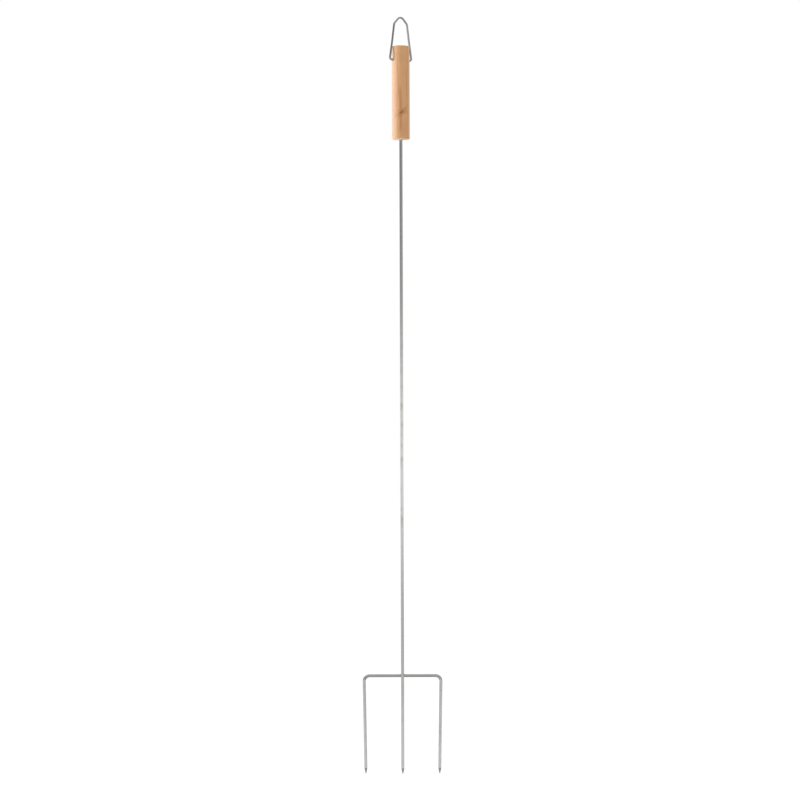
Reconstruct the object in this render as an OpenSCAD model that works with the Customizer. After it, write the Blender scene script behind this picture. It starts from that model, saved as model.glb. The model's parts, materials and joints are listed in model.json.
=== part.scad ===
// Roasting stick: a wooden handle, one long steel wire that ends in the middle tine, a bent wire that
// makes the crossbar and the outer tines, the weld that joins them, and a swinging hanging loop.
// Millimetres. The stick hangs upright: +Z points up, +X runs along the crossbar and -Y faces the
// viewer. The origin is where a hook bears, on the underside of the hanging loop's crown.

/* [Handle] */
// Diameter of the wooden handle
handle_d = 22; // [18:1:28]
// Length of the wooden handle
handle_l = 115; // [95:5:160]
// Radius of the rounded edge at both ends of the handle
handle_edge_r = 1.4; // [0.6:0.2:3]

/* [Shaft] */
// Diameter of the wire of the shaft and the fork
wire_d = 4; // [3:0.5:6]
// Length of the shaft from the handle's lower end to the point of the middle tine
shaft_l = 784; // [400:2:1000]
// Length of the shaft that is hidden in the handle
tang_l = 60; // [45:5:75]
// Width across the two swaged wings of the tang
wing_w = 7; // [6.5:0.5:9]
// Thickness of the wings
wing_t = 1.6; // [1:0.2:2.4]
// Length of the wings
wing_l = 14; // [8:1:20]
// Room round the tang in its hole, which the glue fills
glue_gap = 0.05; // [0.02:0.01:0.1]
// Depth of the drilled hole past the end of the tang
drill_over = 2; // [1:0.5:5]
// Angle of the drill's point
drill_point = 118; // [90:1:140]

/* [Fork] */
// Distance between the outer tines at the crossbar, between centres
fork_w = 95.5; // [70:0.5:130]
// Distance from the crossbar's centre down to the points of the tines
tine_l = 121; // [80:1:160]
// How far each outer tine leans inwards at its point
toe_in = 2; // [0:0.5:6]
// Radius of the two bends of the bow, at the wire's centre
bow_bend_r = 7; // [6:0.5:14]
// Length of the ground point of a tine
point_l = 7; // [4:0.5:12]
// Diameter of the blunt end of a point
point_d = 1.2; // [0.8:0.1:2]
// How far the weld draws the two crossed wires into each other
weld_sink = 0.6; // [0.3:0.1:1]
// How far the weld bead stands out beside the shaft
weld_stand = 1; // [0.5:0.1:1.4]

/* [Hanging loop] */
// Diameter of the loop's wire
loop_wire_d = 2.5; // [2:0.25:3.5]
// Height of the loop's crown above its pivot, at the wire's centre
loop_rise = 52.5; // [44:0.5:70]
// Distance from the handle's top end down to the loop's pivot
pivot_drop = 17; // [10:1:20]
// Turn of the loop about the handle's axis, left side forwards
loop_turn = 30; // [0:5:60]
// Slope of the arch on both sides of the crown
crown_slope = 48; // [40:1:55]
// Radius of the crown, at the wire's centre
crown_r = 5; // [4:0.5:7]
// Distance between the shoulders of the arch
shoulder_w = 18; // [16:0.5:20]
// Radius of the shoulders, at the wire's centre
shoulder_r = 5; // [3:0.5:7]
// Height of the knee, where the legs start to flare, above the handle's top end
knee_rise = 5.5; // [4:0.5:9]
// Distance of the knee from the line of the handle's side
knee_stand = 1; // [0.8:0.1:3]
// Radius of the knee, at the wire's centre
knee_r = 30; // [20:5:40]
// Distance of the foot's corner from the handle's side
foot_stand = 4.5; // [4:0.5:8]
// Radius of the bend at the foot, at the wire's centre
foot_r = 2.5; // [2.5:0.25:3]
// Length of each foot inside the wood
foot_grip = 7.5; // [5:0.5:8]
// Room all round each foot in the cross hole, in which it turns
pivot_clearance = 0.08; // [0.03:0.01:0.1]

/* [Hidden] */

$fn = 64;

wood = "burlywood";
steel = "silver";
bead_grey = "lightslategray";

// A cut runs this far past the face that it opens
past = 1;

// Drawn wire thins a little where it is bent or ground, and a bend or a point starts this far inside
// the straight wire that it continues
thinning = 0.02;
lap = 0.15;

handle_r = handle_d / 2;
wire_r = wire_d / 2;
loop_wire_r = loop_wire_d / 2;

// Heights, counted from the underside of the loop's crown
pivot_z = loop_wire_r - loop_rise;
handle_top_z = pivot_z + pivot_drop;
handle_end_z = handle_top_z - handle_l;
tang_top_z = handle_end_z + tang_l;
tip_z = handle_end_z - shaft_l;
crossbar_z = tip_z + tine_l;

// The crossbar lies behind the shaft, sunk into it by the weld
bow_y = wire_d - weld_sink;
contact_y = bow_y / 2;
bead_r = norm([wire_r + weld_stand, contact_y - wire_r]);

// The hole in the handle that holds the tang
tang_hole_r = wire_r + glue_gap;
tang_hole_top_z = tang_top_z + drill_over;
drill_cone_h = tang_hole_r / tan(drill_point / 2);

// Corners of the bow, seen from the front, from the left point to the right one
bow_half = fork_w / 2;
bow_corners = [
    [-bow_half + toe_in, tip_z],
    [-bow_half, crossbar_z],
    [bow_half, crossbar_z],
    [bow_half - toe_in, tip_z]
];
bow_radii = [0, bow_bend_r, bow_bend_r, 0];

// Corners of the loop's left half in its own plane, from the end of the foot up to the crown, counted
// from the pivot
crown_corner_z = loop_rise + crown_r * (1 / cos(crown_slope) - 1);
shoulder_half = shoulder_w / 2;
loop_left = [
    [foot_grip - handle_r, 0],
    [-handle_r - foot_stand, 0],
    [-handle_r - knee_stand, pivot_drop + knee_rise],
    [-shoulder_half, crown_corner_z - shoulder_half * tan(crown_slope)]
];
loop_left_radii = [0, foot_r, knee_r, shoulder_r];
last = len(loop_left) - 1;
loop_corners = concat(
    loop_left,
    [[0, crown_corner_z]],
    [for (i = [last:-1:0]) [-loop_left[i][0], loop_left[i][1]]]
);
loop_radii = concat(
    loop_left_radii,
    [crown_r],
    [for (i = [last:-1:0]) loop_left_radii[i]]
);

// Direction of travel from one corner to the next
function heading(a, b) = atan2(b[1] - a[1], b[0] - a[0]);

// Angle by which the wire turns from one heading to the next, from -180 to 180
function turn(from, to) =
    let (d = to - from)
    d > 180 ? d - 360 : d < -180 ? d + 360 : d;

// Angle turned at corner i, which is nothing at the two ends
function corner_turn(corners, i) =
    i == 0 || i == len(corners) - 1
        ? 0
        : turn(heading(corners[i - 1], corners[i]), heading(corners[i], corners[i + 1]));

// Length of straight that the bend at corner i takes from each of its two sides
function bend_reach(corners, radii, i) = radii[i] * tan(abs(corner_turn(corners, i)) / 2);

// Point at a distance from corner a towards corner b
function along(a, b, distance) = a + (b - a) * distance / norm(b - a);

// Straight round wire between two points of the XY plane
module straight_wire(a, b, d) {
    translate([a[0], a[1], 0])
        rotate([0, 90, heading(a, b)])
            cylinder(h = norm(b - a), d = d);
}

// Bend of a wire in the XY plane, which starts at a point with a heading and turns through an angle
module wire_bend(start, from, angle, r, d) {
    side = sign(angle);
    centre = start + side * r * [-sin(from), cos(from)];
    lap_angle = lap / r * 180 / PI;
    translate([centre[0], centre[1], 0])
        rotate([0, 0, from - 90 * side + min(angle, 0) - lap_angle])
            rotate_extrude(angle = abs(angle) + 2 * lap_angle)
                translate([r, 0])
                    circle(d = d - thinning);
}

// Round wire in the XY plane through a list of corners, each bent to its own radius. Trims leave a
// length free at the first and the last point.
module bent_wire(corners, radii, d, trim = 0) {
    count = len(corners);
    for (i = [0:count - 2]) {
        start_cut = i == 0 ? trim : bend_reach(corners, radii, i);
        end_cut = i == count - 2 ? trim : bend_reach(corners, radii, i + 1);
        a = along(corners[i], corners[i + 1], start_cut);
        b = along(corners[i + 1], corners[i], end_cut);
        straight_wire(a, b, d);
        if (i < count - 2)
            wire_bend(b, heading(a, b), corner_turn(corners, i + 1), radii[i + 1], d);
    }
}

// Stands a drawing of the XY plane upright, its Y pointing up
module upright() {
    rotate([90, 0, 0])
        children();
}

// Ground point of a tine: it starts at the origin, with its blunt round end at -point_l
module tine_point() {
    blunt_r = point_d / 2;
    translate([0, 0, blunt_r - point_l]) {
        cylinder(h = point_l - blunt_r + lap, d1 = point_d, d2 = wire_d - thinning);
        sphere(d = point_d);
    }
}

// Shaft without its wings, from the top of the tang to the start of the point
module shaft_rod(extra_r = 0) {
    rod_end_z = tip_z + point_l;
    translate([0, 0, rod_end_z])
        cylinder(h = tang_top_z - rod_end_z, r = wire_r + extra_r);
}

// Two wings pressed out of the tang, just below its top
module tang_wings(extra = 0) {
    wing_drop = 4;
    translate([0, 0, tang_top_z - wing_drop - wing_l / 2])
        cube([wing_w + 2 * extra, wing_t + 2 * extra, wing_l + 2 * extra], center = true);
}

// Outline of half the handle with its rounded ends, turned about its axis
module handle_blank() {
    rotate_extrude()
        union() {
            translate([0, handle_end_z])
                square([handle_r - handle_edge_r, handle_l]);
            translate([0, handle_end_z + handle_edge_r])
                square([handle_r, handle_l - 2 * handle_edge_r]);
            for (z = [handle_end_z + handle_edge_r, handle_top_z - handle_edge_r])
                translate([handle_r - handle_edge_r, z])
                    circle(r = handle_edge_r);
        }
}

// Drilled hole for the tang, with the cone that the drill leaves and the slot that the wings press
module tang_hole() {
    translate([0, 0, handle_end_z - past])
        cylinder(h = tang_hole_top_z - handle_end_z + past, r = tang_hole_r);
    translate([0, 0, tang_hole_top_z])
        cylinder(h = drill_cone_h, r1 = tang_hole_r, r2 = 0);
    tang_wings(glue_gap);
}

// Cross hole for the feet of the loop, right through the handle
module pivot_hole() {
    translate([0, 0, pivot_z])
        rotate([0, 90, loop_turn])
            cylinder(h = handle_d + 2 * past, r = loop_wire_r + pivot_clearance, center = true);
}

module handle() {
    color(wood)
        difference() {
            handle_blank();
            tang_hole();
            pivot_hole();
        }
}

module shaft() {
    color(steel)
        union() {
            shaft_rod();
            tang_wings();
            translate([0, 0, tip_z + point_l])
                tine_point();
        }
}

// Point of an outer tine, in line with its leaning leg
module bow_point(side) {
    foot = bow_corners[side < 0 ? 0 : 3];
    top = bow_corners[side < 0 ? 1 : 2];
    start = along(foot, top, point_l);
    lean = heading(foot, top) - 90;
    translate([start[0], bow_y, start[1]])
        rotate([0, -lean, 0])
            tine_point();
}

module fork_bow() {
    color(steel)
        difference() {
            union() {
                translate([0, bow_y, 0])
                    upright()
                        bent_wire(bow_corners, bow_radii, wire_d, point_l);
                bow_point(-1);
                bow_point(1);
            }
            shaft_rod();
        }
}

module weld_bead() {
    color(bead_grey)
        difference() {
            translate([0, contact_y, crossbar_z])
                sphere(r = bead_r);
            shaft_rod();
            translate([0, bow_y, crossbar_z])
                rotate([0, 90, 0])
                    cylinder(h = 2 * bead_r + 2 * past, r = wire_r, center = true);
        }
}

module hanging_loop() {
    color(steel)
        translate([0, 0, pivot_z])
            rotate([0, 0, loop_turn])
                upright()
                    bent_wire(loop_corners, loop_radii, loop_wire_d);
}

handle();
shaft();
fork_bow();
weld_bead();
hanging_loop();
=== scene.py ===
"""Looks of a hanging roasting stick: a turned wooden handle, plated wire, a weld and a hanging loop.

Everything is in metres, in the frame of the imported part: +Z up, +X along the crossbar, -Y towards the
viewer, and the origin where a hook bears under the crown of the hanging loop.
"""

import json
import logging
import math
from dataclasses import dataclass
from enum import Enum
from typing import Any

import bmesh
import bpy
from mathutils import Euler, Matrix, Vector, noise


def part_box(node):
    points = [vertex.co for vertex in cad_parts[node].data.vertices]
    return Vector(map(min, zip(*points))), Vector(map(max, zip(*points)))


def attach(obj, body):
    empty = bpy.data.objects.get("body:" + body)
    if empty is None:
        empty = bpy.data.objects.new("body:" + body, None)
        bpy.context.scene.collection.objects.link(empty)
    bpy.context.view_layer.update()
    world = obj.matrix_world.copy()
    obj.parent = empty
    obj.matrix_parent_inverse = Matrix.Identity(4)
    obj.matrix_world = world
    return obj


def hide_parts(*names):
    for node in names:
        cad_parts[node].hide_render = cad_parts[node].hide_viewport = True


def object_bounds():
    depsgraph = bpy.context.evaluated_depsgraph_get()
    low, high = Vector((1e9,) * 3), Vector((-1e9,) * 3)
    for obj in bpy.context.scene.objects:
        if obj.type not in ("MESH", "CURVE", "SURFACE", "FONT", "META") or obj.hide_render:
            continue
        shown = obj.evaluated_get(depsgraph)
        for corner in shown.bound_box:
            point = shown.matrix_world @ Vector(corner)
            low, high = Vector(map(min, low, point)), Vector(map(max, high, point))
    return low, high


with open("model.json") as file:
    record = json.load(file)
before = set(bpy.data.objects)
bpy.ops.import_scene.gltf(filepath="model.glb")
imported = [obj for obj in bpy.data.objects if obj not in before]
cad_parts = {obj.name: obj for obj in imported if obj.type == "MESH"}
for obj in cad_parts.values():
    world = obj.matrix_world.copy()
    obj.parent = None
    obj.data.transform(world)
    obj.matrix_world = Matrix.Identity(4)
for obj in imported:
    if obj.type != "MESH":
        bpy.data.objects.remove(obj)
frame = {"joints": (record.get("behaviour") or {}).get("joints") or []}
cad_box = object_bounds()

MM = 0.001
DRAWN = "drawn"
LOG = logging.getLogger("roasting_stick")

Colour = tuple[float, float, float]


class Body(Enum):
    """The two bodies that the joint joins."""

    STICK = "stick"
    LOOP = "hanging_loop"


class Slot(Enum):
    """The record's material slots."""

    WOOD = "handle_wood"
    WIRE = "plated_wire"
    WELD = "weld"
    LOOP_WIRE = "loop_wire"


class End(Enum):
    """How a wire ends."""

    CUT = "cut"
    POINT = "point"


class Value:
    """An output socket that Python expressions can work with, one Math node for each operator."""

    def __init__(self, tree: "Tree", socket: bpy.types.NodeSocket) -> None:
        """Wraps a socket.

        Args:
            tree: The tree that the socket's node stands in.
            socket: The output socket.
        """
        self.tree = tree
        self.socket = socket

    def also(self, name: str) -> "Value":
        """Another output of the same node."""
        return Value(self.tree, self.socket.node.outputs[name])

    def math(self, operation: str, *terms: "Feed") -> "Value":
        """Adds a Math node.

        Args:
            operation: The node's operation.
            terms: What its sockets take, in order.

        Returns:
            The node's output.
        """
        return self.tree.add("ShaderNodeMath", {"operation": operation}, dict(enumerate(terms)))

    def __add__(self, other: "Feed") -> "Value":
        """self + other."""
        return self.math("ADD", self, other)

    def __radd__(self, other: "Feed") -> "Value":
        """other + self."""
        return self.math("ADD", other, self)

    def __sub__(self, other: "Feed") -> "Value":
        """self - other."""
        return self.math("SUBTRACT", self, other)

    def __rsub__(self, other: "Feed") -> "Value":
        """other - self."""
        return self.math("SUBTRACT", other, self)

    def __mul__(self, other: "Feed") -> "Value":
        """self * other."""
        return self.math("MULTIPLY", self, other)

    def __rmul__(self, other: "Feed") -> "Value":
        """other * self."""
        return self.math("MULTIPLY", other, self)

    def __truediv__(self, other: "Feed") -> "Value":
        """self / other."""
        return self.math("DIVIDE", self, other)

    def larger(self, other: "Feed") -> "Value":
        """The larger of self and other."""
        return self.math("MAXIMUM", self, other)

    def absolute(self) -> "Value":
        """self without its sign."""
        return self.math("ABSOLUTE", self)

    def fraction(self) -> "Value":
        """What is left of self above the next whole number below."""
        return self.math("FRACT", self)

    def rise(self, low: float, high: float) -> "Value":
        """Smooth step from 0 at low to 1 at high, which may be the smaller of the two.

        Args:
            low: Where the step starts.
            high: Where the step ends.

        Returns:
            A value from 0 to 1.
        """
        step = self.tree.add(
            "ShaderNodeMapRange",
            {"interpolation_type": "SMOOTHSTEP"},
            {"Value": self, "From Min": min(low, high), "From Max": max(low, high)},
        )
        return step if low < high else 1 - step

    def bell(self, width: float) -> "Value":
        """Bell curve: 1 where the value is 0, and 0.37 at a width from there."""
        scaled = self / width
        return self.math("EXPONENT", scaled * scaled * -1)


Feed = Value | float | int | str | tuple | bpy.types.ID


@dataclass(frozen=True)
class Grain:
    """A noise: its waves in a metre, its finer octaves, and a factor on its waves along each axis."""

    waves: float
    octaves: float = 1
    stretch: Colour = (1, 1, 1)


class Tree:
    """A node tree under construction."""

    MIX_COLOURS = (6, 7)
    MIX_RESULT = 2

    def __init__(self, tree: bpy.types.NodeTree) -> None:
        """Takes a node tree and empties it."""
        self.tree = tree
        tree.nodes.clear()

    def add(
        self,
        kind: str,
        settings: dict[str, Any] | None = None,
        sockets: dict[str | int, Feed] | None = None,
        output: str | int = 0,
    ) -> Value:
        """Adds a node.

        Args:
            kind: The node's type.
            settings: Its properties, set first. "stops" holds a ramp's positions and colours.
            sockets: What each of its input sockets takes, a value or a link.
            output: The output that is wanted.

        Returns:
            That output, wrapped. For a node without outputs, its first input.
        """
        node = self.tree.nodes.new(kind)
        for name, setting in (settings or {}).items():
            if name == "stops":
                self._set_stops(node.color_ramp, setting)
            else:
                setattr(node, name, setting)
        for name, feed in (sockets or {}).items():
            self.feed(node.inputs[name], feed)
        return Value(self, node.outputs[output] if node.outputs else node.inputs[0])

    def feed(self, socket: bpy.types.NodeSocket, feed: Feed) -> None:
        """Links a wrapped socket to an input, or sets the input's own value."""
        if isinstance(feed, Value):
            self.tree.links.new(feed.socket, socket)
        elif socket.type == "RGBA" and len(feed) == 3:
            socket.default_value = (*feed, 1)
        else:
            socket.default_value = feed

    @staticmethod
    def _set_stops(ramp: bpy.types.ColorRamp, stops: list[tuple[float, Colour]]) -> None:
        """Gives a colour ramp its stops, each a position and a colour."""
        while len(ramp.elements) < len(stops):
            ramp.elements.new(1)
        for element, (position, colour) in zip(ramp.elements, stops):
            element.position = position
            element.color = (*colour, 1)

    def vector(self, operation: str, *terms: Feed, output: str = "Vector") -> Value:
        """Adds a Vector Math node.

        Args:
            operation: The node's operation.
            terms: What its sockets take, in order.
            output: "Vector", or "Value" for a length or a dot product.

        Returns:
            The wanted output.
        """
        return self.add("ShaderNodeVectorMath", {"operation": operation}, dict(enumerate(terms)), output)

    def parts(self, vector: Value) -> tuple[Value, Value, Value]:
        """The X, Y and Z of a vector."""
        x = self.add("ShaderNodeSeparateXYZ", {}, {0: vector})
        return x, x.also("Y"), x.also("Z")

    def blend(self, factor: Feed, a: Feed, b: Feed) -> Value:
        """Mixes two colours: a where the factor is 0, b where it is 1."""
        mix = self.add("ShaderNodeMix", {"data_type": "RGBA"}, {0: factor}).socket.node
        for index, colour in zip(self.MIX_COLOURS, (a, b)):
            self.feed(mix.inputs[index], colour)
        return Value(self, mix.outputs[self.MIX_RESULT])

    def noise(self, vector: Value, grain: Grain) -> Value:
        """Noise from about 0 to 1, read at a vector in metres."""
        place = self.vector("MULTIPLY", vector, grain.stretch)
        return self.add(
            "ShaderNodeTexNoise", {}, {"Vector": place, "Scale": grain.waves, "Detail": grain.octaves}
        )

    def relief(self, height: Value, strength: float, distance: float) -> Value:
        """The normal of a surface with a height that bumps it by up to a distance."""
        sockets = {"Height": height, "Strength": strength, "Distance": distance}
        return self.add("ShaderNodeBump", {}, sockets)


class Finish:
    """What every finish has in common: a material with one Principled shader."""

    name: str

    def material(self) -> bpy.types.Material:
        """Builds the material.

        Returns:
            The new material.
        """
        made = bpy.data.materials.new(self.name)
        made.use_nodes = True
        tree = Tree(made.node_tree)
        shader = tree.add("ShaderNodeBsdfPrincipled", {}, self.sockets(tree))
        tree.add("ShaderNodeOutputMaterial", {}, {"Surface": shader})
        return made

    def sockets(self, tree: Tree) -> dict[str | int, Feed]:
        """What the Principled shader's sockets take."""
        raise NotImplementedError


@dataclass(frozen=True)
class Layer:
    """A colour that lies over another where a pattern rises from low to high."""

    colour: Colour
    low: float
    high: float
    share: float

    def over(self, tree: Tree, tone: Feed, pattern: Value) -> Value:
        """The tone with this layer over it, as far as the pattern says."""
        return tree.blend(pattern.rise(self.low, self.high) * self.share, tone, self.colour)


@dataclass(frozen=True)
class Wood(Finish):
    """Pale turned softwood, flat sawn towards the viewer, with one small knot."""

    knot: Vector
    name: str = "Turned wood"
    early: Colour = (0.790, 0.430, 0.195)
    late: Colour = (0.690, 0.335, 0.135)
    halo: Colour = (0.560, 0.235, 0.085)
    core: Colour = (0.300, 0.080, 0.016)
    heart: Layer = Layer((0.730, 0.345, 0.160), 0.45, 0.70, 0.60)
    olive: Layer = Layer((0.680, 0.375, 0.145), 0.50, 0.75, 0.25)
    # Painted highlight: the left side, where the key lamp falls, is painted paler and whiter than the wood.
    painted_left_highlight: Layer = Layer((0.820, 0.560, 0.390), -1 * MM, -10 * MM, 0.80)
    # Painted highlight: a paler strip down the right edge, where light grazes the wood.
    painted_right_edge_highlight: Layer = Layer((0.820, 0.560, 0.390), 7 * MM, 11 * MM, 0.25)
    end_grain: Layer = Layer((0.800, 0.520, 0.300), 0.70, 0.95, 0.50)
    fibres: Grain = Grain(1400, 3, (1, 1, 0.025))
    streaks: Grain = Grain(260, 2, (1, 1, 0.06))
    warmth: Grain = Grain(90, 1, (1, 1, 0.35))
    halo_reach: float = 8 * MM
    halo_share: float = 0.7
    core_reach: float = 2.6 * MM
    knot_tilt: float = math.radians(35)
    knot_stretch: float = 2.77
    knot_depth: tuple[float, float] = (4 * MM, 11 * MM)
    streak_x: float = -0.6 * MM
    streak_half: float = 1.7 * MM
    streak_ends: tuple[float, float] = (-146 * MM, -80 * MM)
    streak_fade: float = 14 * MM
    streak_front: tuple[float, float] = (-2 * MM, -8 * MM)
    streak_sway: Grain = Grain(60, 1, (1, 1, 0.4))
    streak_sway_size: float = 3 * MM
    streak_share: float = 0.7
    pith: Colour = (-9 * MM, 36 * MM, 0)
    ring_step: float = 2.6 * MM
    ring_sway: Grain = Grain(14)
    ring_sway_size: float = 5 * MM
    ring_bulge: float = 3 * MM
    ring_bulge_reach: float = 10 * MM
    late_start: tuple[float, float] = (0.35, 0.90)
    late_end: tuple[float, float] = (0.92, 1.00)
    shade: tuple[float, float] = (0.94, 0.12)
    roughness: tuple[float, float] = (0.42, 0.12)
    relief: tuple[float, float] = (0.7, 0.3)
    relief_strength: float = 0.25
    relief_distance: float = 0.06 * MM
    sheen: float = 0.6
    sheen_roughness: float = 0.35

    def sockets(self, tree: Tree) -> dict[str | int, Feed]:
        """Colour, roughness and relief of the wood, with painted highlights on its left side and right
        edge.
        """
        place = tree.add("ShaderNodeTexCoord", output="Object")
        facing = tree.parts(tree.add("ShaderNodeTexCoord", output="Normal"))[2].absolute()
        x = tree.parts(place)[0]
        across, late = self._rings(tree, place)
        fibres = tree.noise(place, self.fibres)
        tone = tree.blend(late, self.early, self.late)
        tone = self.heart.over(tree, tone, tree.noise(place, self.warmth))
        tone = self.olive.over(tree, tone, tree.noise(place, self.streaks))
        # Painted highlight: the lamp-lit left side is painted paler.
        tone = self.painted_left_highlight.over(tree, tone, x)
        # Painted highlight: the right edge is painted paler where light grazes it.
        tone = self.painted_right_edge_highlight.over(tree, tone, x)
        tone = tree.blend(self._streak(tree, place) * self.streak_share, tone, self.halo)
        tone = tree.blend(across.bell(self.halo_reach) * self.halo_share, tone, self.halo)
        tone = tree.blend(across.bell(self.core_reach), tone, self.core)
        tone = self.end_grain.over(tree, tone, facing)
        least, more = self.shade
        shade = least + fibres * more
        grey = tree.add("ShaderNodeCombineXYZ", {}, {0: shade, 1: shade, 2: shade})
        of_fibres, of_rings = self.relief
        height = fibres * of_fibres + late * of_rings
        smoothest, rougher = self.roughness
        return {
            "Base Color": tree.vector("MULTIPLY", tone, grey),
            "Roughness": smoothest + fibres * rougher,
            "Sheen Weight": self.sheen,
            "Sheen Roughness": self.sheen_roughness,
            "Normal": tree.relief(height, self.relief_strength, self.relief_distance),
        }

    def _streak(self, tree: Tree, place: Value) -> Value:
        """A brown streak that runs along the grain through the knot, on the front only.

        Args:
            tree: The material's tree.
            place: Object coordinates.

        Returns:
            The streak's share from 0 to 1.
        """
        x, y, z = tree.parts(place)
        low, high = self.streak_ends
        sway = (tree.noise(place, self.streak_sway) - 0.5) * self.streak_sway_size
        along = z.rise(low, low + self.streak_fade) * z.rise(high, high - self.streak_fade)
        return (x - self.streak_x + sway).bell(self.streak_half) * along * y.rise(*self.streak_front)

    def _rings(self, tree: Tree, place: Value) -> tuple[Value, Value]:
        """Growth rings, drawn aside by the knot.

        Args:
            tree: The material's tree.
            place: Object coordinates.

        Returns:
            The distance from the knot's axis, and the share of late wood from 0 to 1.
        """
        turned_place = tree.add(
            "ShaderNodeMapping",
            {"vector_type": "TEXTURE"},
            {"Vector": place, "Location": tuple(self.knot), "Rotation": (0, -self.knot_tilt, 0)},
        )
        x, y, z = tree.parts(turned_place)
        flat = tree.add("ShaderNodeCombineXYZ", {}, {0: x, 1: 0, 2: z * self.knot_stretch})
        across = tree.vector("LENGTH", flat, output="Value") + y.rise(*self.knot_depth)
        sway = tree.noise(place, self.ring_sway) * self.ring_sway_size
        level = tree.vector("MULTIPLY", tree.vector("SUBTRACT", place, self.pith), (1, 1, 0))
        radius = tree.vector("LENGTH", level, output="Value") + sway
        radius = radius - across.bell(self.ring_bulge_reach) * self.ring_bulge
        phase = (radius / self.ring_step).fraction()
        return across, phase.rise(*self.late_start) * (1 - phase.rise(*self.late_end))


@dataclass(frozen=True)
class PlatedWire(Finish):
    """Bright plated steel wire that has dulled a little, with the lines that drawing left in it."""

    name: str = "Plated wire"
    bright: Colour = (0.61, 0.605, 0.60)
    dull: Colour = (0.46, 0.455, 0.445)
    roughness: float = 0.12
    roughness_dulled: float = 0.12
    roughness_lines: float = 0.04
    lines: Grain = Grain(2600, 2, (1, 1, 0.004))
    clouds: Grain = Grain(160, 3, (1, 1, 0.5))
    waver: Grain = Grain(45)
    specks: Grain = Grain(1900, 1, (1, 1, 0.7))
    cloud_edge: tuple[float, float] = (0.45, 0.80)
    cloud_share: float = 0.6
    speck_edge: tuple[float, float] = (0.68, 0.78)
    relief_lines: float = 0.35
    relief_waver: float = 6
    relief_strength: float = 0.2
    relief_distance: float = 0.03 * MM

    def sockets(self, tree: Tree) -> dict[str | int, Feed]:
        """Colour, roughness and relief of the wire, read where it was drawn."""
        drawn = tree.add("ShaderNodeAttribute", {"attribute_name": DRAWN}, output="Vector")
        lines = tree.noise(drawn, self.lines)
        clouds = tree.noise(drawn, self.clouds)
        specks = tree.noise(drawn, self.specks).rise(*self.speck_edge)
        dulled = (clouds.rise(*self.cloud_edge) * self.cloud_share).larger(specks)
        height = lines * self.relief_lines + tree.noise(drawn, self.waver) * self.relief_waver + clouds
        return {
            "Base Color": tree.blend(dulled, self.bright, self.dull),
            "Metallic": 1.0,
            "Roughness": self.roughness + dulled * self.roughness_dulled + lines * self.roughness_lines,
            "Normal": tree.relief(height, self.relief_strength, self.relief_distance),
        }


@dataclass(frozen=True)
class WeldMetal(Finish):
    """Bare weld metal: rough, rippled and a little straw coloured from the heat."""

    name: str = "Weld metal"
    bright: Colour = (0.60, 0.58, 0.55)
    straw: Layer = Layer((0.46, 0.38, 0.27), 0.45, 0.70, 0.60)
    grain: Grain = Grain(1800, 3)
    heat: Grain = Grain(350)
    roughness: tuple[float, float] = (0.36, 0.20)
    relief_strength: float = 0.5
    relief_distance: float = 0.08 * MM

    def sockets(self, tree: Tree) -> dict[str | int, Feed]:
        """Colour, roughness and relief of the weld."""
        place = tree.add("ShaderNodeTexCoord", output="Object")
        grain = tree.noise(place, self.grain)
        smoothest, rougher = self.roughness
        return {
            "Base Color": self.straw.over(tree, self.bright, tree.noise(place, self.heat)),
            "Metallic": 1.0,
            "Roughness": smoothest + grain * rougher,
            "Normal": tree.relief(grain, self.relief_strength, self.relief_distance),
        }


@dataclass(frozen=True)
class Station:
    """A point on a wire's path, with the wire's radius there and the radius of its bend."""

    at: Vector
    radius: float
    bend: float = 0.0


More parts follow.
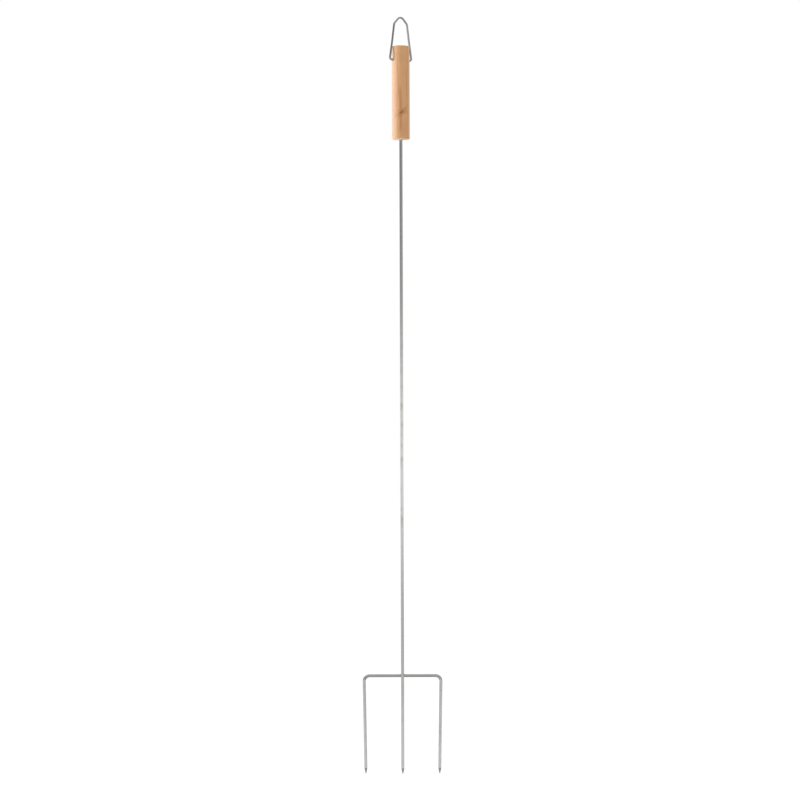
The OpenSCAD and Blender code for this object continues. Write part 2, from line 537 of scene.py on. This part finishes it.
@dataclass
class Wire:
    """Round wire that follows a path of straights and round bends."""

    diameter: float
    sides: int = 40
    bend_steps: int = 18
    point_length: float = 7 * MM
    blunt_diameter: float = 1.2 * MM
    point_steps: int = 10
    point_belly: float = 0.93
    chamfer: float = 0.2 * MM
    margin: float = 0.3 * MM
    ring_step: float = 12 * MM

    @property
    def radius(self) -> float:
        """Half the wire's diameter."""
        return self.diameter / 2

    def path(self, corners: list[Vector], bends: list[float], ends: tuple[End, End]) -> list[Station]:
        """Stations through a list of corners.

        Args:
            corners: The path's corners, from end to end.
            bends: The radius of the bend at each corner, 0 at the two ends.
            ends: How the wire ends at the first and at the last corner.

        Returns:
            The stations, in the same order.
        """
        first = self._end(corners[0], corners[1], ends[0])
        last = self._end(corners[-1], corners[-2], ends[1])[::-1]
        inner = [Station(c, self.radius, b) for c, b in zip(corners[1:-1], bends[1:-1])]
        knots = [first[-1], *inner, last[0]]
        reach = [0.0]
        for before, knot, after in zip(corners, inner, corners[2:]):
            reach.append(knot.bend * math.tan((knot.at - before).angle(after - knot.at) / 2))
        reach.append(0.0)
        stations = first
        for start, end, skip, stop in zip(knots, knots[1:], reach, reach[1:]):
            stations = stations + self._straight(start.at, end.at, skip, stop) + [end]
        return stations + last[1:]

    def _straight(self, start: Vector, end: Vector, skip: float, stop: float) -> list[Station]:
        """Stations along a straight, close enough that no ring's shading reaches far into it.

        Args:
            start: The corner or end that it leaves.
            end: The corner or end that it comes to.
            skip: How much of its start the bend there takes.
            stop: How much of its end the bend there takes.

        Returns:
            The stations, without the two corners.
        """
        way = (end - start).normalized()
        length = (end - start).length - skip - stop - 2 * self.margin
        steps = math.ceil(length / self.ring_step)
        begin = skip + self.margin
        return [Station(start + way * (begin + length * i / steps), self.radius) for i in range(steps + 1)]

    def _end(self, tip: Vector, towards: Vector, end: End) -> list[Station]:
        """Stations of one end, from its tip inwards.

        Args:
            tip: The end's outermost point.
            towards: The next corner.
            end: How the wire ends.

        Returns:
            The stations, from the tip up to the full wire.
        """
        inwards = (towards - tip).normalized()
        if end is End.CUT:
            steps = [(0.0, self.radius - self.chamfer), (self.chamfer, self.radius)]
        else:
            steps = self._point()
        return [Station(tip + inwards * depth, radius) for depth, radius in steps]

    def _point(self) -> list[tuple[float, float]]:
        """Depth and radius along a ground point: a round blunt end, then a cone with a slight belly."""
        blunt = self.blunt_diameter / 2
        turns = [math.pi / 2 * i / self.point_steps for i in range(1, self.point_steps)]
        cap = [(blunt * (1 - math.cos(turn)), blunt * math.sin(turn)) for turn in turns]
        cone = [
            (
                blunt + (self.point_length - blunt) * i / self.point_steps,
                blunt + (self.radius - blunt) * (i / self.point_steps) ** self.point_belly,
            )
            for i in range(self.point_steps + 1)
        ]
        return cap + cone

    def build(self, name: str, stations: list[Station], finish: bpy.types.Material) -> bpy.types.Object:
        """Sweeps the wire along its stations.

        Args:
            name: The piece's name.
            stations: The path.
            finish: The wire's material.

        Returns:
            A plain mesh object.
        """
        mesh = bpy.data.meshes.new(name)
        count = len(stations)
        mesh.from_pydata([s.at for s in stations], [(i, i + 1) for i in range(count - 1)], [])
        for attribute, values in (
            ("radius", [s.radius for s in stations]),
            ("bend", [s.bend for s in stations]),
        ):
            mesh.attributes.new(attribute, "FLOAT", "POINT").data.foreach_set("value", values)
        path = bpy.data.objects.new(name + "_path", mesh)
        bpy.context.scene.collection.objects.link(path)
        tree, inputs = sweep_tree()
        modifier = path.modifiers.new("Sweep", "NODES")
        modifier.node_group = tree
        modifier[inputs["Sides"]] = self.sides
        modifier[inputs["Bend Steps"]] = self.bend_steps
        modifier[inputs["Material"]] = finish
        return baked(path, name)


def sweep_tree() -> tuple[bpy.types.NodeTree, dict[str, str]]:
    """Builds the Geometry Nodes tree that sweeps a round wire along a path.

    Returns:
        The tree, and the identifier of each of its named inputs.
    """
    group = bpy.data.node_groups.new("Drawn wire", "GeometryNodeTree")
    tree = Tree(group)
    group.interface.new_socket("Path", in_out="INPUT", socket_type="NodeSocketGeometry")
    inputs = {
        name: group.interface.new_socket(name, in_out="INPUT", socket_type=kind).identifier
        for name, kind in (
            ("Sides", "NodeSocketInt"),
            ("Bend Steps", "NodeSocketInt"),
            ("Material", "NodeSocketMaterial"),
        )
    }
    group.interface.new_socket("Wire", in_out="OUTPUT", socket_type="NodeSocketGeometry")
    path = tree.add("NodeGroupInput")
    named = {
        name: tree.add("GeometryNodeInputNamedAttribute", {"data_type": "FLOAT"}, {"Name": name})
        for name in ("radius", "bend")
    }
    line = tree.add("GeometryNodeMeshToCurve", {}, {"Mesh": path})
    bent = tree.add(
        "GeometryNodeFilletCurve",
        {"mode": "POLY"},
        {"Curve": line, "Count": path.also("Bend Steps"), "Radius": named["bend"]},
    )
    along, length = captured(tree, bent, "FLOAT", tree.add("GeometryNodeSplineParameter", output="Length"))
    circle = tree.add(
        "GeometryNodeCurvePrimitiveCircle", {}, {"Resolution": path.also("Sides"), "Radius": 1.0}
    )
    profile, spot = captured(tree, circle, "VECTOR", tree.add("GeometryNodeInputPosition"))
    swept = tree.add(
        "GeometryNodeCurveToMesh",
        {},
        {"Curve": along, "Profile Curve": profile, "Scale": named["radius"], "Fill Caps": True},
    )
    x, y, _ = tree.parts(spot)
    girth = 2 * MM
    drawn = tree.add("ShaderNodeCombineXYZ", {}, {0: x * girth, 1: y * girth, 2: length})
    marked = tree.add(
        "GeometryNodeStoreNamedAttribute",
        {"data_type": "FLOAT_VECTOR", "domain": "POINT"},
        {"Geometry": swept, "Name": DRAWN, "Value": drawn},
    )
    smooth = tree.add("GeometryNodeSetShadeSmooth", {}, {"Geometry": marked})
    real = tree.add("GeometryNodeRealizeInstances", {}, {"Geometry": smooth})
    dressed = tree.add(
        "GeometryNodeSetMaterial", {}, {"Geometry": real, "Material": path.also("Material")}
    )
    tree.add("NodeGroupOutput", {}, {"Wire": dressed})
    return group, inputs


def captured(tree: Tree, geometry: Value, kind: str, value: Value) -> tuple[Value, Value]:
    """Captures a field on a geometry.

    Args:
        tree: The tree.
        geometry: The geometry.
        kind: "FLOAT" or "VECTOR".
        value: The field.

    Returns:
        The geometry, and the captured field.
    """
    node = tree.add("GeometryNodeCaptureAttribute", {"domain": "POINT"}, {"Geometry": geometry}).socket.node
    node.capture_items.new(kind, "Kept")
    tree.feed(node.inputs["Kept"], value)
    return Value(tree, node.outputs["Geometry"]), Value(tree, node.outputs["Kept"])


def baked(source: bpy.types.Object, name: str) -> bpy.types.Object:
    """Turns an object with modifiers into a plain mesh object and removes the source.

    Args:
        source: The object with its modifiers.
        name: The new object's name.

    Returns:
        The new object, at the origin.
    """
    evaluated = source.evaluated_get(bpy.context.evaluated_depsgraph_get())
    mesh = bpy.data.meshes.new_from_object(evaluated)
    old = source.data
    source.modifiers.clear()
    bpy.data.objects.remove(source)
    bpy.data.meshes.remove(old)
    mesh.name = name
    made = bpy.data.objects.new(name, mesh)
    bpy.context.scene.collection.objects.link(made)
    sharpen(made)
    return made


def sharpen(piece: bpy.types.Object, angle: float = math.radians(40)) -> None:
    """Shades a piece smooth, apart from edges that turn more than an angle."""
    piece.data.shade_smooth()
    piece.data.set_sharp_from_angle(angle=angle)


def turned(name: str, outline: list[tuple[float, float]], sides: int) -> bpy.types.Object:
    """A closed solid of revolution about Z.

    Args:
        name: The object's name.
        outline: Radius and height, from the lower pole up to the upper one, both poles left out.
        sides: How many sides it has.

    Returns:
        The object.
    """
    points, faces = [], []
    for radius, height in outline:
        for side in range(sides):
            angle = 2 * math.pi * side / sides
            points.append((radius * math.cos(angle), radius * math.sin(angle), height))
    for ring in range(len(outline) - 1):
        for side in range(sides):
            a, b = ring * sides + side, ring * sides + (side + 1) % sides
            faces.append((a, b, b + sides, a + sides))
    top = (len(outline) - 1) * sides
    faces.append(tuple(range(sides - 1, -1, -1)))
    faces.append(tuple(range(top, top + sides)))
    mesh = bpy.data.meshes.new(name)
    mesh.from_pydata(points, [], faces)
    made = bpy.data.objects.new(name, mesh)
    bpy.context.scene.collection.objects.link(made)
    return made


@dataclass
class Handle:
    """Turned wooden handle with a hole for the tang and a cross hole for the loop's feet."""

    finish: bpy.types.Material
    pivot: Vector
    pivot_axis: Vector
    edge_radius: float = 1.4 * MM
    loop_hole_radius: float = 1.33 * MM
    tang_hole_radius: float = 2.05 * MM
    drill_over: float = 2 * MM
    drill_point: float = math.radians(118)
    drill_web: float = 0.1 * MM
    mouth: float = 0.3 * MM
    sides: int = 160
    hole_sides: int = 48
    edge_steps: int = 8
    ring_step: float = 1.0 * MM
    face_rings: tuple[float, ...] = (0.35, 0.65, 0.80)

    @property
    def radius(self) -> float:
        """Half the handle's thickness."""
        low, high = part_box("handle")
        return (high.x - low.x) / 2

    def build(self) -> bpy.types.Object:
        """Turns and drills the handle.

        Returns:
            The piece.
        """
        low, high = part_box("handle")
        blank = turned("handle_blank", self._outline(low.z, high.z), self.sides)
        cutters = [self._loop_hole(), self._tang_hole(low.z)]
        for cutter in cutters:
            cut = blank.modifiers.new(cutter.name, "BOOLEAN")
            cut.operation = "DIFFERENCE"
            cut.solver = "EXACT"
            cut.object = cutter
        made = baked(blank, "turned_handle")
        for cutter in cutters:
            bpy.data.objects.remove(cutter)
        made.data.materials.clear()
        made.data.materials.append(self.finish)
        return made

    def _outline(self, low: float, high: float) -> list[tuple[float, float]]:
        """Radius and height of the blank, from its lower face to its upper one."""
        edge, steps = self.edge_radius, self.edge_steps
        face = [self.radius * share for share in self.face_rings]
        quarter = [math.pi / 2 * i / steps for i in range(steps + 1)]
        inner = self.radius - edge
        bottom = [(inner + edge * math.sin(a), low + edge * (1 - math.cos(a))) for a in quarter]
        top = [(r, high + low - z) for r, z in reversed(bottom)]
        count = round((high - low - 2 * edge) / self.ring_step)
        side = [
            (self.radius, low + edge + (high - low - 2 * edge) * i / count) for i in range(1, count)
        ]
        return [(r, low) for r in face] + bottom + side + top + [(r, high) for r in reversed(face)]

    def _loop_hole(self) -> bpy.types.Object:
        """Cutter for the cross hole, a little wider at both mouths."""
        reach, r = self.radius, self.loop_hole_radius
        out = 1.5 * self.mouth
        half = [(r, 0.0), (r, reach - 2 * self.mouth), (r + self.mouth, reach), (r + 2 * out, reach + out)]
        outline = [(radius, -place) for radius, place in reversed(half[1:])] + half
        cutter = turned("loop_hole", outline, self.hole_sides)
        turn = Vector((0, 0, 1)).rotation_difference(self.pivot_axis).to_matrix().to_4x4()
        cutter.data.transform(Matrix.Translation(self.pivot) @ turn)
        return cutter

    def _tang_hole(self, low: float) -> bpy.types.Object:
        """Cutter for the hole that holds the tang, with the cone that the drill leaves."""
        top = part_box("shaft")[1].z + self.drill_over
        r = self.tang_hole_radius
        cone = r / math.tan(self.drill_point / 2)
        outline = [
            (r + 2 * self.mouth, low - self.mouth),
            (r + self.mouth, low),
            (r, low + self.mouth),
            (r, top),
            (self.drill_web, top + cone),
        ]
        return turned("tang_hole", outline, self.hole_sides)


@dataclass
class Shaft:
    """Long wire from the tang in the handle to the point of the middle tine."""

    finish: bpy.types.Material

    def build(self) -> bpy.types.Object:
        """Sweeps the shaft. The wings of its tang are inside the wood and are left to the solid.

        Returns:
            The piece.
        """
        low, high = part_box("shaft")
        wire = Wire(high.y - low.y)
        corners = [Vector((0, 0, high.z)), Vector((0, 0, low.z))]
        return wire.build("drawn_shaft", wire.path(corners, [0, 0], (End.CUT, End.POINT)), self.finish)


@dataclass
class ForkBow:
    """One wire bent into the crossbar and the two outer tines."""

    finish: bpy.types.Material
    bend_radius: float = 7 * MM
    toe_in: float = 2 * MM

    def build(self) -> bpy.types.Object:
        """Bends the bow.

        Returns:
            The piece.
        """
        low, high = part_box("fork_bow")
        wire = Wire(high.y - low.y)
        back = (low.y + high.y) / 2
        half = high.x - wire.radius
        bar = high.z - wire.radius
        foot = half - self.toe_in
        corners = [
            Vector((-foot, back, low.z)),
            Vector((-half, back, bar)),
            Vector((half, back, bar)),
            Vector((foot, back, low.z)),
        ]
        bends = [0, self.bend_radius, self.bend_radius, 0]
        return wire.build("bent_fork_bow", wire.path(corners, bends, (End.POINT, End.POINT)), self.finish)


@dataclass
class WeldBead:
    """Small bead where the crossbar is welded to the back of the shaft."""

    finish: bpy.types.Material
    hollows: float = 0.10
    grain: float = 1.1 * MM
    subdivisions: int = 5

    def build(self) -> bpy.types.Object:
        """Forms the bead from a ball with an uneven skin.

        Returns:
            The piece.
        """
        low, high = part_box("weld_bead")
        centre = (low + high) / 2
        radius = (high.x - low.x) / 2
        ball = bmesh.new()
        bmesh.ops.create_icosphere(ball, subdivisions=self.subdivisions, radius=1)
        for vert in ball.verts:
            way = vert.co.normalized()
            bulge = noise.noise(way * radius / self.grain)
            vert.co = centre + way * radius * (1 - self.hollows * (0.5 + 0.5 * bulge))
        mesh = bpy.data.meshes.new("weld")
        ball.to_mesh(mesh)
        ball.free()
        mesh.materials.append(self.finish)
        made = bpy.data.objects.new("welded_bead", mesh)
        bpy.context.scene.collection.objects.link(made)
        sharpen(made)
        return made


@dataclass
class HangingLoop:
    """Sprung wire loop whose two feet turn in the cross hole of the handle."""

    finish: bpy.types.Material
    pivot: Vector
    pivot_axis: Vector
    wire_diameter: float = 2.5 * MM
    pivot_drop: float = 17 * MM
    crown_slope: float = math.radians(48)
    crown_radius: float = 5 * MM
    shoulder_half: float = 9 * MM
    shoulder_radius: float = 5 * MM
    knee_rise: float = 5.5 * MM
    knee_stand: float = 1 * MM
    knee_radius: float = 30 * MM
    foot_stand: float = 4.5 * MM
    foot_radius: float = 2.5 * MM
    foot_grip: float = 7.5 * MM

    def build(self) -> bpy.types.Object:
        """Bends the loop in its own plane and stands it on its pivot.

        Returns:
            The piece.
        """
        low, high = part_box("handle")
        side = (high.x - low.x) / 2
        rise = self.wire_diameter / 2 - self.pivot.z
        crown = rise + self.crown_radius * (1 / math.cos(self.crown_slope) - 1)
        left = [
            (self.foot_grip - side, 0.0, 0.0),
            (-side - self.foot_stand, 0.0, self.foot_radius),
            (-side - self.knee_stand, self.pivot_drop + self.knee_rise, self.knee_radius),
            (
                -self.shoulder_half,
                crown - self.shoulder_half * math.tan(self.crown_slope),
                self.shoulder_radius,
            ),
        ]
        right = [(-across, up, bend) for across, up, bend in reversed(left)]
        points = left + [(0.0, crown, self.crown_radius)] + right
        up = Vector((0, 0, 1))
        corners = [self.pivot + self.pivot_axis * across + up * height for across, height, _ in points]
        wire = Wire(self.wire_diameter, sides=32)
        stations = wire.path(corners, [bend for _, _, bend in points], (End.CUT, End.CUT))
        return wire.build("bent_hanging_loop", stations, self.finish)


@dataclass
class Studio:
    """White room, pale floor, soft light from the left and the camera of the photograph."""

    floor_gap: float = 0.07
    floor_half: float = 6.0
    distance: float = 2.8
    aim: tuple[float, float] = (-2.1 * MM, -471.2 * MM)
    image: int = 800
    metres_per_pixel: float = 1.236 * MM
    roll: float = math.radians(0.18)
    sensor: float = 36.0
    clip: tuple[float, float] = (0.01, 100.0)
    floor_paint: Colour = (0.9, 0.9, 0.9)
    floor_glow: float = 1.15
    floor_glow_share: float = 0.8
    white: Colour = (1, 1, 1)
    fill: float = 0.70
    key_place: Colour = (-1.6, 0.0, -0.35)
    key_size: tuple[float, float] = (0.5, 1.6)
    key_watts: float = 20.0
    bands: tuple[tuple[float, float], ...] = (
        (-9, 0.98), (-8, 0.94), (-7, 0.60), (-5, 0.57), (-2.5, 1.18),
        (0, 1.12), (2.5, 0.42), (5, 0.48), (9, 0.42),
    )
    overhead: float = 0.80
    overhead_rise: tuple[float, float] = (0.30, 0.90)
    underfoot: float = 0.50
    underfoot_rise: tuple[float, float] = (-0.17, -0.40)
    below: tuple[float, float] = (0.02, -0.05)
    back: float = 1.40
    side_loss: float = 0.18
    front_loss: float = 0.45
    corner_loss: float = 0.32
    contrast: float = 1.7

    def build(self) -> None:
        """Sets up the view, the floor, the world, the lamp and the camera."""
        bpy.context.scene.view_settings.view_transform = "Standard"
        self._floor()
        self._world()
        self._key()
        self._camera()

    def _floor(self) -> None:
        """Pale floor below the hanging stick, which keeps its shadow."""
        height = cad_box[0].z - self.floor_gap
        half = self.floor_half
        mesh = bpy.data.meshes.new("floor")
        corners = [(-half, -half), (half, -half), (half, half), (-half, half)]
        mesh.from_pydata([(x, y, height) for x, y in corners], [], [(0, 1, 2, 3)])
        mesh.materials.append(self._floor_finish())
        floor = bpy.data.objects.new("floor", mesh)
        floor.visible_glossy = False
        bpy.context.scene.collection.objects.link(floor)

    def _floor_finish(self) -> bpy.types.Material:
        """White floor: it shows as the background, under the shadows that fall on it."""
        made = bpy.data.materials.new("Pale floor")
        made.use_nodes = True
        tree = Tree(made.node_tree)
        path = tree.add("ShaderNodeLightPath", output="Is Camera Ray")
        seen = path.larger(path.also("Is Transmission Ray"))
        paint = tree.add("ShaderNodeBsdfDiffuse", {}, {"Color": self.floor_paint})
        light = tree.add("ShaderNodeEmission", {}, {"Color": self.white, "Strength": self.floor_glow})
        mixed = tree.add("ShaderNodeMixShader", {}, {0: seen * self.floor_glow_share, 1: paint, 2: light})
        tree.add("ShaderNodeOutputMaterial", {}, {"Surface": mixed})
        return made

    def _world(self) -> None:
        """White for the eye, an even fill for dull surfaces, and bright and dim bands for gloss."""
        world = bpy.data.worlds.new("Studio")
        bpy.context.scene.world = world
        world.use_nodes = True
        tree = Tree(world.node_tree)
        path = tree.add("ShaderNodeLightPath", output="Is Camera Ray")
        glossy = path.also("Is Glossy Ray")
        seen = path.larger(path.also("Is Transmission Ray"))
        plain = self.fill * (1 - glossy) + self._mirrored(tree) * glossy
        strength = seen + plain * (1 - seen)
        light = tree.add("ShaderNodeBackground", {}, {"Color": self.white, "Strength": strength})
        tree.add("ShaderNodeOutputWorld", {}, {"Surface": light})

    def _mirrored(self, tree: Tree) -> Value:
        """The room that gloss sees: level bands, dimmer in front, above to the left and below to the right.

        Args:
            tree: The world's tree.

        Returns:
            The brightness in the direction that is looked at.
        """
        x, y, z = tree.parts(tree.add("ShaderNodeTexCoord", output="Generated"))
        heights = [math.sin(math.radians(elevation)) for elevation, _ in self.bands]
        low, high = heights[0], heights[-1]
        stops = [
            ((height - low) / (high - low), (level, level, level))
            for height, (_, level) in zip(heights, self.bands)
        ]
        level = tree.add("ShaderNodeValToRGB", {"stops": stops}, {0: (z - low) / (high - low)})
        level = level + (self.overhead - level) * z.rise(*self.overhead_rise)
        level = level + (self.underfoot - level) * z.rise(*self.underfoot_rise)
        left = (1 - x) / 2
        front = (1 - y) / 2
        dim = left + (1 - 2 * left) * z.rise(*self.below)
        side = self.back - dim * self.side_loss - front * self.front_loss - dim * front * self.corner_loss
        return level * (1 + (side - 1) * (1 - level) * self.contrast)

    def _key(self) -> None:
        """A soft lamp at the left that faces the stick. The gloss sees the room without it."""
        lamp = bpy.data.lights.new("Key", "AREA")
        lamp.shape = "RECTANGLE"
        lamp.size, lamp.size_y = self.key_size
        lamp.energy = self.key_watts
        made = bpy.data.objects.new("Key", lamp)
        made.location = self.key_place
        made.visible_glossy = False
        target = Vector((0, 0, self.key_place[2]))
        made.rotation_euler = (target - made.location).to_track_quat("-Z", "Y").to_euler()
        bpy.context.scene.collection.objects.link(made)

    def _camera(self) -> None:
        """Level camera in front of the stick, rolled by the hair that the photograph shows."""
        lens = bpy.data.cameras.new("Camera")
        half_view = self.image / 2 * self.metres_per_pixel
        lens.sensor_width = self.sensor
        lens.lens = self.sensor / 2 * self.distance / half_view
        lens.clip_start, lens.clip_end = self.clip
        camera = bpy.data.objects.new("Camera", lens)
        camera.location = (self.aim[0], -self.distance, self.aim[1])
        camera.rotation_euler = Euler((math.pi / 2, self.roll, 0), "XYZ")
        bpy.context.scene.collection.objects.link(camera)
        bpy.context.scene.camera = camera


def place(piece: bpy.types.Object, body: Body, slot: Slot, *nodes: str) -> None:
    """Hands a finished piece over to its body.

    Args:
        piece: The piece.
        body: The body that it rides on.
        slot: The record's material slot that the piece matches; not used.
        nodes: The solids that it stands for.
    """
    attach(piece, body.value)
    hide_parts(*nodes)
    LOG.info("%s: %d faces, on %s", piece.name, len(piece.data.polygons), body.value)


def main() -> None:
    """Builds the stage and every piece."""
    logging.basicConfig(level=logging.INFO, format="%(name)s: %(message)s")
    Studio().build()
    joint = frame["joints"][0]
    pivot = Vector(joint["pos_m"])
    axis = Vector(joint["axis"]).normalized()
    wood = Wood(knot=Vector((1.0 * MM, -11 * MM, -116.8 * MM))).material()
    wire = PlatedWire().material()
    loop_wire = PlatedWire(
        name="Plated loop wire", bright=(0.50, 0.495, 0.49), dull=(0.36, 0.355, 0.345), roughness=0.14
    ).material()
    place(Handle(wood, pivot, axis).build(), Body.STICK, Slot.WOOD, "handle")
    place(Shaft(wire).build(), Body.STICK, Slot.WIRE, "shaft")
    place(ForkBow(wire).build(), Body.STICK, Slot.WIRE, "fork_bow")
    place(WeldBead(WeldMetal().material()).build(), Body.STICK, Slot.WELD, "weld_bead")
    place(HangingLoop(loop_wire, pivot, axis).build(), Body.LOOP, Slot.LOOP_WIRE, "hanging_loop")


if __name__ == "__main__":
    main()
